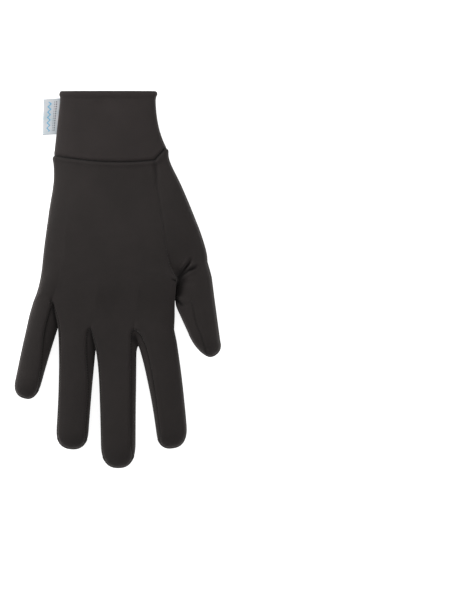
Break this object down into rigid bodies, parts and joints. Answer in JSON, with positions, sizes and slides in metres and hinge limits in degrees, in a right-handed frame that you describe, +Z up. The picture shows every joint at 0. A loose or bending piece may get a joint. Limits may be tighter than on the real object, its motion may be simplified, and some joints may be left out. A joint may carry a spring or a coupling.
{
  "type": "glove liner",
  "caption": "Stretch-knit glove liner for the right hand, lying flat, with a folded cuff, strips between the fingers and a plain side label.",
  "frame": {"origin": "on the surface that the glove lies on, under the middle of its outline", "axes": "+X towards the thumb's side, +Y from the fingertips to the cuff, +Z up, away from the palm and out of the back of the hand"},
  "size_m": [0.13, 0.2404, 0.015],
  "materials": {
    "knit": "matte black brushed stretch knit with a slight sheen",
    "cuff_knit": "matte black stretch knit, folded double and a little lighter",
    "satin": "woven satin ribbon, cool white, soft gloss"
  },
  "bodies": {
    "root": {"back_panel": "knit", "palm_panel": "knit", "thumb_piece": "knit", "strip_pinky_ring": "knit", "strip_ring_middle": "knit", "strip_middle_index": "knit", "cuff_band": "cuff_knit", "label_tab": "satin"}
  },
  "joints": []
}
